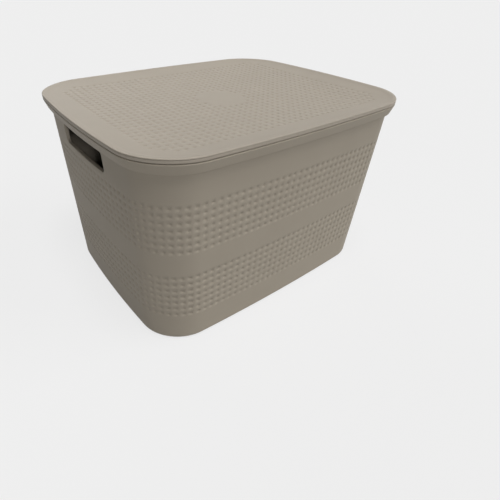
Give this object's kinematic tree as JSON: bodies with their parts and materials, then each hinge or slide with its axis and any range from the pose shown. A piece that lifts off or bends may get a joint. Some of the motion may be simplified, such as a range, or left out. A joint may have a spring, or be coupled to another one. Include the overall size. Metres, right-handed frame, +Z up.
{
  "type": "storage box",
  "caption": "Moulded plastic storage box with rounded corners, a lift-off lid, a removable divider panel and a handle opening in each end wall.",
  "frame": {"origin": "middle of the box's footprint, on the surface it stands on", "axes": "+X along the length, through both handle openings; +Y across the width; +Z up"},
  "size_m": [0.5242, 0.4302, 0.312],
  "materials": {
    "tub_plastic": "fine matte moulded surface with rows of small round dimples",
    "lid_plastic": "fine matte moulded surface with rows of small round dimples",
    "divider_plastic": "fine matte moulded surface"
  },
  "bodies": {
    "tub": {"tub": "tub_plastic"},
    "divider": {"divider": "divider_plastic"},
    "lid": {"lid": "lid_plastic"}
  },
  "joints": [
    {"name": "divider_lift", "type": "slide", "parent": "tub", "child": "divider", "axis": [0, 0, 1], "range_m": [0, 0.305]},
    {"name": "lid_lift", "type": "slide", "parent": "divider", "child": "lid", "axis": [0, 0, 1], "range_m": [0, 0.3]}
  ]
}
